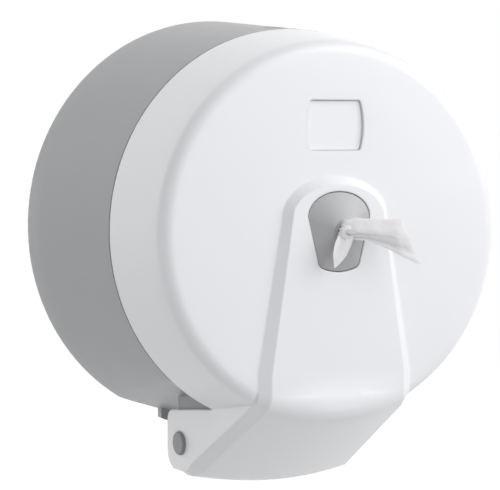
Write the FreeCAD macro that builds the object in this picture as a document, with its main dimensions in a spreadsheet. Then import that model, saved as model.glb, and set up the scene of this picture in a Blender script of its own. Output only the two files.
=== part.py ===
import FreeCAD, Part
import math
import os
import re
from types import SimpleNamespace

import Sketcher
from FreeCAD import Placement, Rotation, Vector

# Centre-pull dispenser for a jumbo toilet roll, in millimetres and degrees. The origin is on the
# drum's axis at the wall face. The front looks along -Y, +X is to the right and +Z is up.
# A depth is a distance in front of the wall, and a level is a height above the drum's axis.

SIZES = {
    # drum: grey case behind the seam, white cover before it
    "roll_room": 38.0,
    "case_draft_angle": 5.062,
    "seam_depth": 120.8,
    "cover_draft_angle": 9.5535,
    "cover_depth": 61.2,
    "face_corner": 10.0,
    "case_wall": 2.6,
    "back_wall": 3.0,
    "rear_edge_round": 4.0,
    "cover_wall": 2.5,
    "seam_gap": 1.0,
    "overrun": 1.0,
    # lip of the case inside the cover's rim
    "lip_reach": 4.0,
    "lip_root": 4.5,
    "lip_thickness": 1.8,
    "lip_gap": 1.1,
    # two flats under the case, which rise outwards and to the front
    "flat_drop": 1.8,
    "flat_side_angle": 17.0,
    "flat_front_angle": 9.5,
    "web_thickness": 2.4,
    # foot at the bottom of the wall plate
    "foot_half_width": 44.0,
    "foot_rise": 3.2,
    "foot_bevel_width": 5.0,
    "foot_bevel_height": 2.3,
    "foot_thickness": 6.0,
    # chin: the cover's raised tongue, from the nozzle to below the drum
    "chin_rise": 5.0,
    "arch_level": 10.0,
    "arch_half_width": 38.9,
    "arch_height": 26.0,
    "chin_join_rise": 20.7,
    "chin_strip_width": 7.7,
    "chin_toe_rise": 11.3,
    "chin_slope_angle": 31.0,
    "chin_bend_radius": 14.0,
    "slope_strip_width": 6.0,
    "slope_strip_rise": 6.7,
    "chin_crown": 7.5,
    "heel_drop": 21.8,
    "heel_bend_radius": 16.0,
    "heel_crown": 5.5,
    "heel_strip_width": 3.8,
    "heel_strip_rise": 3.5,
    "tool_reach": 80.0,
    "tool_side": 6.0,
    # ears: the chin's sides, which reach back to the hinge
    "ear_front_half_width": 57.0,
    "ear_draft_angle": 3.81,
    "ear_wall": 2.6,
    "ear_rear_margin": 17.3,
    "ear_top_rise": 21.2,
    "ear_top_seam_rise": 27.5,
    "ear_top_round": 7.0,
    "ear_bottom_drop": 19.1,
    "ear_bottom_round": 13.0,
    "floor_set_back": 3.0,
    # hinge
    "hinge_set_back": 41.8,
    "hinge_drop": 2.5,
    "pin_head_radius": 8.0,
    "pin_head_proud": 1.9,
    "pin_head_edge": 0.6,
    "pin_shank_radius": 5.0,
    "pin_press_gap": 0.02,
    "pin_tail": 3.0,
    "running_gap": 0.05,
    "lug_gap": 1.6,
    "lug_thickness": 4.0,
    "lug_seat_back": 0.1,
    "lug_spot_gap": 4.0,
    "lug_boss_radius": 10.0,
    "lug_boss_length": 10.0,
    "lug_front_set_back": 4.8,
    "lug_front_rise": 17.5,
    "lug_round": 3.0,
    "clip_radius": 8.6,
    "clip_thickness": 0.8,
    # holes for the wall screws
    "wall_hole_radius": 2.75,
    "wall_hole_spacing_across": 150.0,
    "wall_hole_spacing_up": 110.0,
    "wall_boss_radius": 9.0,
    "wall_boss_height": 3.0,
    # egg-shaped opening in the chin, and the nozzle in it
    "egg_level": 10.0,
    "egg_half_width": 23.0,
    "egg_rise": 16.4,
    "egg_side_half_width": 15.9,
    "egg_side_level": -17.8,
    "egg_corner_half_width": 15.0,
    "egg_corner_level": -21.4,
    "egg_foot_half_width": 13.0,
    "egg_foot_level": -23.6,
    "egg_bottom_level": -26.2,
    "nozzle_gap": 0.5,
    "nozzle_set_back": 0.3,
    "nozzle_wall": 2.0,
    "nozzle_projection": 6.5,
    "nozzle_tip_radius": 7.2,
    "nozzle_lip_radius": 6.6,
    "nozzle_lip_length": 1.0,
    "nozzle_hole_radius": 5.0,
    "flange_thickness": 2.2,
    "flange_half_width": 30.0,
    "flange_top": 31.0,
    "flange_bottom": -32.0,
    "flange_corner": 7.0,
    "post_across": 24.0,
    "post_top": 24.5,
    "post_bottom": -26.0,
    "post_radius": 3.6,
    "post_length": 3.5,
    # self-tapping screws
    "pilot_radius": 1.25,
    "tap_radius": 1.2,
    "tap_clear_radius": 1.6,
    "tap_end_gap": 0.5,
    "tap_head_radius": 3.0,
    "tap_head_height": 1.8,
    "slot_width": 0.8,
    "slot_depth": 0.9,
    "nozzle_screw_length": 9.0,
    # paper guide behind the nozzle
    "guide_thickness": 2.0,
    "guide_length": 22.0,
    "guide_mouth_radius": 26.0,
    "guide_throat_radius": 9.0,
    "guide_wall": 1.8,
    # blank badge in its recess
    "badge_width": 42.0,
    "badge_height": 32.6,
    "badge_level": 69.2,
    "badge_bow": 2.5,
    "badge_sunk": 1.8,
    "badge_thickness": 1.2,
    "badge_gap": 0.3,
    "badge_corner": 2.0,
    "badge_backing": 2.0,
    "badge_margin": 3.0,
    # roll and the cradle that carries it
    "roll_radius": 107.0,
    "roll_bore_radius": 30.0,
    "roll_length": 130.0,
    "roll_rear_depth": 12.0,
    "seat_gap": 0.3,
    "cradle_thickness": 3.0,
    "cradle_half_angle": 34.0,
    "cradle_length": 102.0,
    "cradle_flange_margin": 19.0,
    "cradle_flange_half_angle": 24.0,
    "cradle_rib_thickness": 2.6,
    "cradle_rib_drop": 12.0,
    "cradle_boss_radius": 4.5,
    "cradle_boss_length": 2.0,
    "cradle_screw_across": 30.0,
    "cradle_screw_drop": 7.0,
    "cradle_screw_length": 6.5,
    # tissue tail, from inside the roll through the nozzle
    "strand_gap": 0.3,
    "strand_length": 64.0,
    "strand_rear_radius": 9.0,
    "strand_neck_length": 10.0,
    "plume_length": 3.0,
    "plume_radius": 5.6,
    "flag_length": 50.0,
    "flag_height": 30.0,
    "flag_turn": 22.0,
    "flag_thickness": 1.6,
    "leaf_width": 13.0,
    "leaf_height": 24.0,
    "leaf_thickness": 1.2,
    # cam lock in the case's top
    "lock_set_back": 16.8,
    "lock_hole_gap": 0.3,
    "lock_pad_half_width": 16.5,
    "lock_pad_thickness": 4.8,
    "housing_radius": 9.0,
    "housing_length": 18.8,
    "lock_flange_radius": 11.5,
    "lock_flange_thickness": 1.3,
    "lock_sink": 2.0,
    "barrel_radius": 6.2,
    "barrel_head_radius": 8.0,
    "barrel_head_height": 1.4,
    "barrel_set_back": 0.2,
    "barrel_tail": 1.2,
    "keyway_width": 1.8,
    "keyway_length": 8.0,
    "keyway_depth": 7.0,
    "nut_half_flat": 12.0,
    "nut_thickness": 4.0,
    "nut_gap": 0.1,
    "cam_thickness": 1.8,
    "cam_hub_radius": 7.0,
    "cam_width": 10.0,
    "hook_past_seam": 6.2,
    "cam_hook_height": 12.0,
    "cam_screw_radius": 2.0,
    "cam_screw_gap": 0.05,
    "cam_screw_head_radius": 3.6,
    "cam_screw_length": 8.0,
    # catch in the cover, behind the cam's hook
    "catch_gap": 0.8,
    "catch_thickness": 1.5,
    "catch_lip_half_width": 4.0,
    "catch_half_width": 10.0,
    "catch_length": 19.0,
    "catch_drop": 6.4,
    "catch_lip_height": 11.4,
    "catch_pad_set_back": 1.3,
    "catch_screw_across": 5.0,
    "catch_screw_forward": 13.0,
    "catch_screw_length": 4.0,
}

# Sizes that follow from others. A rule uses the sizes above and the rules before it.
RULES = {
    # drum
    "rear_radius": "roll_radius + roll_room",
    "seam_radius": "rear_radius - tan(case_draft_angle) * seam_depth",
    "front_radius": "seam_radius - tan(cover_draft_angle) * cover_depth",
    "face_depth": "seam_depth + cover_depth",
    "flat_level": "-rear_radius - flat_drop",
    "foot_level": "foot_rise - rear_radius",
    # chin and ears
    "chin_toe_level": "chin_toe_rise - front_radius",
    "chin_join_level": "chin_toe_level + chin_join_rise",
    "hinge_depth": "seam_depth - hinge_set_back",
    "hinge_level": "-rear_radius - hinge_drop",
    "heel_level": "hinge_level - heel_drop",
    "ear_rear_depth": "hinge_depth - ear_rear_margin",
    "ear_top_level": "hinge_level + ear_top_rise",
    "ear_top_seam_level": "hinge_level + ear_top_seam_rise",
    "ear_bottom_level": "hinge_level - ear_bottom_drop",
    "floor_rear_depth": "hinge_depth + floor_set_back",
    # hinge
    "lug_front_depth": "seam_depth - lug_front_set_back",
    "lug_front_level": "hinge_level + lug_front_rise",
    "hinge_half_width": "ear_front_half_width + tan(ear_draft_angle) * (face_depth - hinge_depth)",
    "pin_seat": "hinge_half_width - ear_wall - lug_gap - lug_seat_back",
    "clip_at": "pin_seat - lug_boss_length - clip_thickness",
    # nozzle and paper guide
    "post_depth": "face_depth - cover_wall - post_length",
    "flange_rear": "post_depth - flange_thickness",
    "guide_rear": "flange_rear - guide_thickness",
    "guide_mouth": "guide_rear - guide_length",
    "strand_rear_depth": "face_depth - strand_length",
    "strand_neck_depth": "face_depth - strand_neck_length",
    # cradle
    "cradle_seat": "back_wall + cradle_boss_length",
    "cradle_front": "cradle_seat + cradle_thickness",
    "cradle_flange_radius": "roll_radius + cradle_flange_margin",
    "cradle_screw_level": "-roll_radius - cradle_screw_drop",
    # lock and catch
    "lock_depth": "seam_depth - lock_set_back",
    "lock_seat_level": "rear_radius - tan(case_draft_angle) * lock_depth - lock_sink",
    "lock_top": "lock_seat_level + lock_flange_thickness",
    "head_top": "lock_top - barrel_set_back",
    "head_seat": "head_top - barrel_head_height",
    "lock_pad_level": "lock_seat_level - lock_pad_thickness",
    "housing_bottom_level": "lock_seat_level - housing_length",
    "barrel_bottom": "housing_bottom_level - barrel_tail",
    "cam_bottom": "barrel_bottom - cam_thickness",
    "cam_reach": "lock_set_back + hook_past_seam",
    "catch_rear": "lock_depth + cam_reach - catch_gap - catch_thickness",
    "catch_level": "lock_seat_level - catch_drop",
    "catch_lip_level": "catch_level - catch_lip_height",
}

# The document, with the sizes in a sheet and the rules in a set of bound values

def rule(text):
    """The expression with each size's name pointed at its cell, or at its derived value."""
    def cell(match):
        word = match.group()
        if word in SIZES:
            return "sizes." + word
        return "derived." + word if word in RULES else word
    return re.sub(r"[a-z]\w*", cell, text)


doc = FreeCAD.newDocument("centre_pull_dispenser")
sheet = doc.addObject("Spreadsheet::Sheet", "sizes")
for row, (alias, number) in enumerate(SIZES.items(), start=1):
    sheet.set("A%d" % row, alias)
    sheet.set("B%d" % row, str(number))
    sheet.setAlias("B%d" % row, alias)
derived = doc.addObject("App::VarSet", "derived")
for alias, text in RULES.items():
    derived.addProperty("App::PropertyFloat", alias)
    derived.setExpression(alias, rule(text))
doc.recompute()
v = SimpleNamespace(**{alias: float(sheet.get(alias)) for alias in SIZES},
                    **{alias: getattr(derived, alias) for alias in RULES})

NODES = {}

ALONG_X = Rotation(Vector(0, 0, 1), Vector(1, 0, 0))
AGAINST_X = Rotation(Vector(0, 0, 1), Vector(-1, 0, 0))
ALONG_Y = Rotation(Vector(0, 0, 1), Vector(0, 1, 0))
AGAINST_Y = Rotation(Vector(0, 0, 1), Vector(0, -1, 0))
DOWNWARD = Rotation(Vector(1, 0, 0), 180)
UPRIGHT = Rotation()


# Objects whose sizes are bound to the sheet

def bind(thing, sizes):
    for key, text in sizes.items():
        thing.setExpression(key, rule(text))


def place(thing, at, rotation):
    thing.Placement = Placement(Vector(), rotation)
    bind(thing, dict(zip(("Placement.Base.x", "Placement.Base.y", "Placement.Base.z"), at)))


def primitive(kind, name, sizes, at=("0", "0", "0"), rotation=UPRIGHT):
    thing = doc.addObject("Part::" + kind, name)
    bind(thing, sizes)
    place(thing, at, rotation)
    return thing


def fuse(name, things):
    joined = doc.addObject("Part::MultiFuse", name)
    joined.Shapes = things
    return joined


def group(label, things):
    """One node for several loose pieces of the same kind."""
    pieces = doc.addObject("Part::Compound", label)
    pieces.Links = things
    node(label, pieces)


def cut(name, base, tool):
    result = doc.addObject("Part::Cut", name)
    result.Base = base
    result.Tool = tool
    return result


def node(label, thing):
    thing.Label = label
    NODES[label] = thing


def outline(body, role, name, points):
    """A closed sketch of straight lines. Each corner's two coordinates are bound to the sheet."""
    sketch = body.newObject("Sketcher::SketchObject", name)
    plane = next(item for item in body.Origin.OriginFeatures if item.Role == role)
    sketch.AttachmentSupport = (plane, [""])
    sketch.MapMode = "FlatFace"
    count = len(points)
    turns = [2 * math.pi * index / count for index in range(count)]
    start = [Vector(math.cos(turn), math.sin(turn), 0) for turn in turns]
    for index in range(count):
        sketch.addGeometry(Part.LineSegment(start[index], start[(index + 1) % count]), False)
    for index in range(count):
        sketch.addConstraint(Sketcher.Constraint("Coincident", index, 2, (index + 1) % count, 1))
    for index, point in enumerate(points):
        for kind, axis, text, number in zip(("DistanceX", "DistanceY"), (-2, -1), point, start[index]):
            if text == "0":
                sketch.addConstraint(Sketcher.Constraint("PointOnObject", index, 1, axis))
                continue
            which = sketch.addConstraint(Sketcher.Constraint(kind, -1, 1, index, 1, number))
            sketch.setExpression("Constraints[%d]" % which, rule(text))
    return sketch


def body_at(label, at=("0", "0", "0"), rotation=UPRIGHT):
    body = doc.addObject("PartDesign::Body", label)
    place(body, at, rotation)
    return body


def revolve(body, name, points, kind="Revolution"):
    """A revolution, or a groove, about the body's Z axis. Points are (radius, height)."""
    sketch = outline(body, "XZ_Plane", name + "_outline", points)
    solid = body.newObject("PartDesign::" + kind, name)
    solid.Profile = sketch
    solid.ReferenceAxis = (sketch, ["V_Axis"])
    solid.Angle = 360


def across(body, name, low, high, length, kind="Pad"):
    """A pad, or a pocket, both ways along X. Its outline is a box with corners (y, z)."""
    corners = [low, (high[0], low[1]), high, (low[0], high[1])]
    sketch = outline(body, "YZ_Plane", name + "_outline", corners)
    solid = body.newObject("PartDesign::" + kind, name)
    solid.Profile = sketch
    solid.SideType = "Symmetric"
    bind(solid, {"Length": length})


def slotted_screw(name, at, rotation, shank, length, head):
    """A screw whose head faces its own +Z and lies on the plane Z = 0."""
    screw = body_at(name, at, rotation)
    revolve(screw, name + "_turned", [
        ("0", "-" + length), (shank, "-" + length), (shank, "0"), (head, "0"),
        (head, "tap_head_height"), ("0", "tap_head_height"),
    ])
    across(screw, name + "_slot", ("-slot_width / 2", "tap_head_height - slot_depth"),
           ("slot_width / 2", "tap_head_height + overrun"), "2 * %s + overrun" % head, "Pocket")
    return screw


# Moulded forms, made with the kernel's own functions

def slope(degrees):
    return math.tan(math.radians(degrees))


def rounded(corners):
    """Closed wire in the plane X = 0 through corners (y, z, radius), with tangent arcs."""
    ends = []
    for index, (y, z, radius) in enumerate(corners):
        here = Vector(0, y, z)
        before = Vector(0, *corners[index - 1][:2]) - here
        after = Vector(0, *corners[(index + 1) % len(corners)][:2]) - here
        before.normalize()
        after.normalize()
        half = before.getAngle(after) / 2
        middle = (before + after).normalize()
        reach = radius / math.tan(half)
        crest = here + middle * (radius / math.sin(half) - radius)
        ends.append((here + before * reach, crest, here + after * reach))
    edges = []
    for index, (start, crest, end) in enumerate(ends):
        if corners[index][2] > 0:
            edges.append(Part.Arc(start, crest, end).toShape())
        edges.append(Part.LineSegment(end, ends[(index + 1) % len(ends)][0]).toShape())
    return Part.Wire(edges)


def slab(corners, low, high):
    """The rounded outline as a solid from X = low to X = high."""
    face = Part.Face(rounded(corners))
    face.translate(Vector(low, 0, 0))
    return face.extrude(Vector(high - low, 0, 0))


def block(low, high):
    size = Vector(*high) - Vector(*low)
    return Part.makeBox(size.x, size.y, size.z, Vector(*low))


def rod(radius, start, end):
    run = Vector(*end) - Vector(*start)
    return Part.makeCylinder(radius, run.Length, Vector(*start), run)


def drum(points):
    """Solid of revolution about the Y axis from corners (radius, depth)."""
    corners = [Vector(radius, -depth, 0) for radius, depth in points]
    face = Part.Face(Part.makePolygon(corners + corners[:1]))
    return face.revolve(Vector(0, 0, 0), Vector(0, 1, 0), 360)


def ring_edges(shape, depth):
    """The full circles of a shape that lie at a depth."""
    circles = [edge for edge in shape.Edges if edge.isClosed()]
    return [edge for edge in circles if abs(edge.BoundBox.YMin + depth) < v.seam_gap
            and edge.BoundBox.YLength < v.seam_gap]


def feature(label, shape):
    thing = doc.addObject("Part::Feature", label)
    thing.Shape = shape
    node(label, thing)


CHIN_DEPTH = v.face_depth + v.chin_rise
FLAT_CROWN_SHARE = 0.01
BEND_SHARES = (0, 0.2, 0.4, 0.6, 0.8, 1)
COVER_REAR = v.seam_depth + v.seam_gap


def case_radius(depth):
    return v.rear_radius - slope(v.case_draft_angle) * depth


def cover_radius(depth):
    return v.seam_radius - slope(v.cover_draft_angle) * (depth - v.seam_depth)


def ear_half_width(depth):
    return v.ear_front_half_width + slope(v.ear_draft_angle) * (v.face_depth - depth)


def below_flats(lift):
    """Everything under the case's two flats, which are raised by lift."""
    wide = 2 * v.rear_radius
    halves = []
    for side in (-1, 1):
        rings = []
        for depth in (-v.overrun, v.face_depth):
            near = v.flat_level + lift + slope(v.flat_front_angle) * depth
            far = near + slope(v.flat_side_angle) * wide
            places = ((0, near), (side * wide, far), (side * wide, -wide), (0, -wide))
            ring = [Vector(x, -depth, z) for x, z in places]
            rings.append(Part.makePolygon(ring + ring[:1]))
        halves.append(Part.makeLoft(rings, True, True))
    return halves[0].fuse(halves[1])


def between_ears(inset, rear_depth, low, high):
    """A block between the chin's two drafted sides, each moved in by inset."""
    rings = []
    for depth in (CHIN_DEPTH + v.overrun, rear_depth):
        half = ear_half_width(depth) - inset
        places = ((-half, low), (half, low), (half, high), (-half, high))
        ring = [Vector(x, -depth, z) for x, z in places]
        rings.append(Part.makePolygon(ring + ring[:1]))
    return Part.makeLoft(rings, True, True)


# Rear case: tapered drum, wall plate, hinge lugs, lock pad and the lip under the cover's rim

WALL_HOLES = [(x * v.wall_hole_spacing_across / 2, z * v.wall_hole_spacing_up / 2)
              for x in (-1, 1) for z in (-1, 1)]
CRADLE_HOLES = [(x * v.cradle_screw_across, v.cradle_screw_level) for x in (-1, 1)]
LUG_INSET = v.ear_wall + v.lug_gap


def hinge_lugs():
    """The two plates that carry the pins, with a boss inside each."""
    foot = v.hinge_level - v.lug_boss_radius
    rear = v.lug_boss_radius - v.hinge_depth
    profile = slab([
        (rear, 0, 0),
        (rear, foot, v.lug_boss_radius / 2),
        (-v.hinge_depth - v.lug_boss_radius, foot, v.lug_boss_radius / 2),
        (-v.lug_front_depth, v.lug_front_level, v.lug_round),
        (-v.lug_front_depth, 0, 0),
    ], -v.rear_radius, v.rear_radius)
    low = -2 * v.rear_radius
    outer = between_ears(LUG_INSET, 0, low, 0)
    inner = between_ears(LUG_INSET + v.lug_thickness, 0, low, 0)
    lugs = profile.common(outer.cut(inner)).common(below_flats(v.case_wall / 2))
    for side in (-1, 1):
        seat = (side * v.pin_seat, -v.hinge_depth, v.hinge_level)
        root = (side * (v.pin_seat - v.lug_boss_length), -v.hinge_depth, v.hinge_level)
        outside = (side * v.rear_radius, -v.hinge_depth, v.hinge_level)
        lugs = lugs.fuse(rod(v.lug_boss_radius, root, seat))
        lugs = lugs.cut(rod(v.lug_boss_radius + v.lug_spot_gap, seat, outside))
        lugs = lugs.cut(rod(v.pin_shank_radius + v.pin_press_gap, (0, *root[1:]), outside))
    return lugs


def wall_foot():
    """The low foot under the wall plate, with its two lower corners bevelled."""
    wide = v.foot_half_width
    narrow = wide - v.foot_bevel_width
    shoulder = v.foot_level + v.foot_bevel_height
    top = v.flat_level + slope(v.flat_side_angle) * wide + v.case_wall
    places = [(-wide, top), (-wide, shoulder), (-narrow, v.foot_level), (narrow, v.foot_level),
              (wide, shoulder), (wide, top)]
    corners = [Vector(x, 0, z) for x, z in places]
    foot = Part.Face(Part.makePolygon(corners + corners[:1])).extrude(Vector(0, -v.foot_thickness, 0))
    return foot.common(below_flats(v.case_wall / 2))


def rear_case():
    outside = drum([(0, 0), (v.rear_radius, 0), (v.seam_radius, v.seam_depth), (0, v.seam_depth)])
    outside = outside.makeFillet(v.rear_edge_round, ring_edges(outside, 0))
    outside = outside.cut(below_flats(0))
    front = v.seam_depth + v.overrun
    inside = drum([
        (0, v.back_wall), (case_radius(v.back_wall) - v.case_wall, v.back_wall),
        (case_radius(front) - v.case_wall, front), (0, front),
    ])
    shell = outside.cut(inside.cut(below_flats(v.case_wall)))

    half_wall = v.case_wall / 2
    lip_outer = v.seam_radius - v.cover_wall - v.lip_gap
    lip_inner = lip_outer - v.lip_thickness
    root = v.seam_depth - v.lip_root
    tip = v.seam_depth + v.lip_reach
    ear_clear = ear_half_width(v.ear_rear_depth) + v.ear_wall
    lip = drum([
        (lip_inner, root), (case_radius(root) - half_wall, root),
        (case_radius(v.seam_depth) - half_wall, v.seam_depth), (lip_outer, v.seam_depth),
        (lip_outer, tip), (lip_inner, tip),
    ])
    lip = lip.cut(below_flats(half_wall))
    lip = lip.cut(block((-ear_clear, -tip - v.overrun, -v.rear_radius), (ear_clear, 0, 0)))
    web_root = v.seam_depth - v.web_thickness
    web = drum([(0, web_root), (lip_outer, web_root), (lip_outer, v.seam_depth), (0, v.seam_depth)])
    web = web.common(below_flats(half_wall))
    web = web.cut(block((-ear_clear, -v.rear_radius, -v.rear_radius), (ear_clear, 0, 0)))

    half = v.lock_pad_half_width
    lock_pad = block((-half, -v.lock_depth - half, v.lock_pad_level),
                     (half, half - v.lock_depth, v.rear_radius))
    lock_pad = lock_pad.common(drum([
        (0, 0), (v.rear_radius - half_wall, 0), (v.seam_radius - half_wall, v.seam_depth), (0, v.seam_depth),
    ]))
    parts = [lip, web, lock_pad, hinge_lugs(), wall_foot()]
    boss_depth = v.back_wall + v.wall_boss_height
    parts += [rod(v.wall_boss_radius, (x, -v.back_wall / 2, z), (x, -boss_depth, z)) for x, z in WALL_HOLES]
    parts += [rod(v.cradle_boss_radius, (x, -v.back_wall / 2, z), (x, -v.cradle_seat, z))
              for x, z in CRADLE_HOLES]
    case = shell.multiFuse(parts)

    tools = [rod(v.wall_hole_radius, (x, v.overrun, z), (x, -boss_depth - v.overrun, z))
             for x, z in WALL_HOLES]
    tools += [rod(v.pilot_radius, (x, -v.tap_end_gap, z), (x, -v.cradle_seat - v.overrun, z))
              for x, z in CRADLE_HOLES]
    lock_hole = v.housing_radius + v.lock_hole_gap
    tools.append(rod(lock_hole, (0, -v.lock_depth, 0), (0, -v.lock_depth, v.rear_radius)))
    tools.append(rod(v.lock_flange_radius + v.lock_hole_gap,
                     (0, -v.lock_depth, v.lock_seat_level), (0, -v.lock_depth, v.rear_radius)))
    return case.cut(tools)


# Front cover: tapered drum with the raised chin, whose sides run back as ears to the hinge

def arch_outline(depth, half_width, height, join_half_width):
    """The chin's upper outline: half an ellipse on two straight sides, which widen downwards."""
    level = v.arch_level
    ellipse = Part.Ellipse(Vector(half_width, -depth, level), Vector(0, -depth, level + height),
                           Vector(0, -depth, level))
    low_left = Vector(-join_half_width, -depth, v.chin_join_level)
    low_right = Vector(join_half_width, -depth, v.chin_join_level)
    return Part.Wire([
        Part.ArcOfEllipse(ellipse, 0, math.pi).toShape(),
        Part.LineSegment(Vector(-half_width, -depth, level), low_left).toShape(),
        Part.LineSegment(low_left, low_right).toShape(),
        Part.LineSegment(low_right, Vector(half_width, -depth, level)).toShape(),
    ])


def chin_upper(inset):
    half = v.arch_half_width - inset
    height = v.arch_height - inset
    join = ear_half_width(v.face_depth) - inset
    face = v.face_depth - inset
    foot = arch_outline(face - v.chin_rise, half, height, join)
    base = arch_outline(face, half, height, join)
    crest = arch_outline(face + v.chin_rise, half - v.chin_rise, height - v.chin_rise,
                         join - v.chin_strip_width)
    return Part.makeLoft([foot, base], True, True).fuse(Part.makeLoft([base, crest], True, True))


def chin_path(inset, rear_depth):
    """Stations along the chin's skin: (place, inward normal, strip width, strip rise, crown)."""
    angle = math.radians(v.chin_slope_angle)
    inward = [Vector(0, 1, 0), Vector(0, math.sin(angle), math.cos(angle)), Vector(0, 0, 1)]
    run = Vector(0, math.cos(angle), -math.sin(angle))
    toe = Vector(0, -CHIN_DEPTH, v.chin_toe_level)
    heel = toe + run * ((v.chin_toe_level - v.heel_level) / math.sin(angle))
    toe = toe + (inward[0] + inward[1]) * (inset / (1 + inward[0].dot(inward[1])))
    heel = heel + (inward[1] + inward[2]) * (inset / (1 + inward[1].dot(inward[2])))
    front = (v.chin_strip_width, v.chin_rise)
    sloping = (v.slope_strip_width, v.slope_strip_rise, v.chin_crown)
    low = (v.heel_strip_width, v.heel_strip_rise, v.heel_crown)

    def bend(corner, before, after, radius, first, last):
        turn = before.getAngle(after)
        centre = corner + (before + after) * (radius / (1 + before.dot(after)))
        stations = []
        for share in BEND_SHARES:
            normal = before * math.sin((1 - share) * turn) + after * math.sin(share * turn)
            normal.normalize()
            rest = [a + (b - a) * share for a, b in zip(first, last)]
            stations.append((centre - normal * radius, normal, *rest))
        return stations

    flat = (*front, v.chin_crown * FLAT_CROWN_SHARE)
    toe_bend = bend(toe, inward[0], inward[1], v.chin_bend_radius - inset, flat, sloping)
    heel_bend = bend(heel, inward[1], inward[2], v.heel_bend_radius - inset, sloping, low)
    top = (Vector(0, toe.y, v.chin_join_level), inward[0], *flat)
    end = (Vector(0, -rear_depth, heel.z), inward[2], *low)
    return [[top, toe_bend[0]], toe_bend, [toe_bend[-1], heel_bend[0]], heel_bend, [heel_bend[-1], end]]


def chin_section(wall, point, normal, strip, rise, crown):
    """Section of the space outside the chin's skin: crowned in the middle and bevelled at its edges."""
    outer = ear_half_width(-(point + normal * rise).y) - wall
    inner = outer - strip
    wide = outer + v.tool_side
    wide_rise = rise * (wide - inner) / strip

    def at(x, inward):
        return Vector(x, 0, 0) + point + normal * inward

    corners = [at(inner, 0), at(wide, wide_rise), at(wide, -v.tool_reach),
               at(-wide, -v.tool_reach), at(-wide, wide_rise), at(-inner, 0)]
    edges = [Part.LineSegment(a, b).toShape() for a, b in zip(corners, corners[1:])]
    edges.append(Part.Arc(corners[-1], at(0, -crown), corners[0]).toShape())
    return Part.Wire(edges)


def outside_chin(inset, wall, rear_depth):
    """Everything in front of and below the chin's skin, moved in by inset, as a chain of solids."""
    chain = []
    for stations in chin_path(inset, rear_depth):
        sections = [chin_section(wall, *station) for station in stations]
        chain.append(Part.makeLoft(sections, True, len(sections) == 2))
    return chain


def chin_lower():
    low = v.heel_level - 2 * v.tool_side
    front = -CHIN_DEPTH - v.overrun
    seam = -COVER_REAR - v.overrun
    body = slab([
        (front, v.chin_join_level, 0), (front, low, 0), (-v.floor_rear_depth, low, 0),
        (-v.floor_rear_depth, v.hinge_level, 0), (seam, v.hinge_level, 0), (seam, v.chin_join_level, 0),
    ], -v.rear_radius, v.rear_radius)
    ears = slab([
        (seam, v.ear_bottom_level, 0),
        (-v.ear_rear_depth, v.ear_bottom_level, v.ear_bottom_round),
        (-v.ear_rear_depth, v.ear_top_level, v.ear_top_round),
        (-v.seam_depth, v.ear_top_seam_level, 0),
        (seam, v.ear_top_seam_level, 0),
    ], -v.rear_radius, v.rear_radius)
    sides = between_ears(0, 0, low - v.overrun, 0)
    solid = body.fuse(ears).common(sides)
    return solid.cut(outside_chin(0, 0, v.ear_rear_depth - v.tool_side))


def chin_cavity():
    low = v.heel_level - v.tool_reach
    inside = between_ears(v.ear_wall, 0, low, v.chin_join_level)
    return inside.cut(outside_chin(v.cover_wall, v.ear_wall, v.floor_rear_depth))


def egg(share, depth):
    """The nozzle opening's outline, scaled about the drum's axis."""
    def at(x, level):
        return Vector(x * share, -depth, level * share)

    ellipse = Part.Ellipse(at(v.egg_half_width, v.egg_level), at(0, v.egg_level + v.egg_rise),
                           at(0, v.egg_level))
    side = (v.egg_side_half_width, v.egg_side_level)
    corner = (v.egg_corner_half_width, v.egg_corner_level)
    foot = (v.egg_foot_half_width, v.egg_foot_level)
    edges = [
        Part.ArcOfEllipse(ellipse, 0, math.pi),
        Part.LineSegment(at(-v.egg_half_width, v.egg_level), at(-side[0], side[1])),
        Part.Arc(at(-side[0], side[1]), at(-corner[0], corner[1]), at(-foot[0], foot[1])),
        Part.Arc(at(-foot[0], foot[1]), at(0, v.egg_bottom_level), at(*foot)),
        Part.Arc(at(*foot), at(*corner), at(*side)),
        Part.LineSegment(at(*side), at(v.egg_half_width, v.egg_level)),
    ]
    return Part.Wire([edge.toShape() for edge in edges])


def egg_prism(share, front_depth, rear_depth):
    return Part.makeLoft([egg(share, front_depth), egg(share, rear_depth)], True, True)


def badge_prism(grow, front_depth, rear_depth):
    """The badge's outline with bowed sides, grown by grow, from one depth to another."""
    half = v.badge_width / 2 + grow
    corner = half - v.badge_bow
    low = v.badge_level - v.badge_height / 2 - grow
    high = v.badge_level + v.badge_height / 2 + grow
    y = -front_depth
    corners = [Vector(corner, y, low), Vector(corner, y, high), Vector(-corner, y, high),
               Vector(-corner, y, low)]
    edges = [
        Part.Arc(corners[0], Vector(half, y, v.badge_level), corners[1]),
        Part.LineSegment(corners[1], corners[2]),
        Part.Arc(corners[2], Vector(-half, y, v.badge_level), corners[3]),
        Part.LineSegment(corners[3], corners[0]),
    ]
    face = Part.Face(Part.Wire([edge.toShape() for edge in edges]))
    prism = face.extrude(Vector(0, front_depth - rear_depth, 0))
    upright = [edge for edge in prism.Edges if edge.BoundBox.XLength + edge.BoundBox.ZLength < v.seam_gap]
    return prism.makeFillet(v.badge_corner, upright)


POSTS = [(x * v.post_across, z) for x in (-1, 1) for z in (v.post_bottom, v.post_top)]
CATCH_SCREWS = [(x * v.catch_screw_across, v.catch_rear + v.catch_screw_forward) for x in (-1, 1)]
BADGE_FLOOR = v.face_depth - v.badge_sunk - v.badge_thickness


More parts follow.
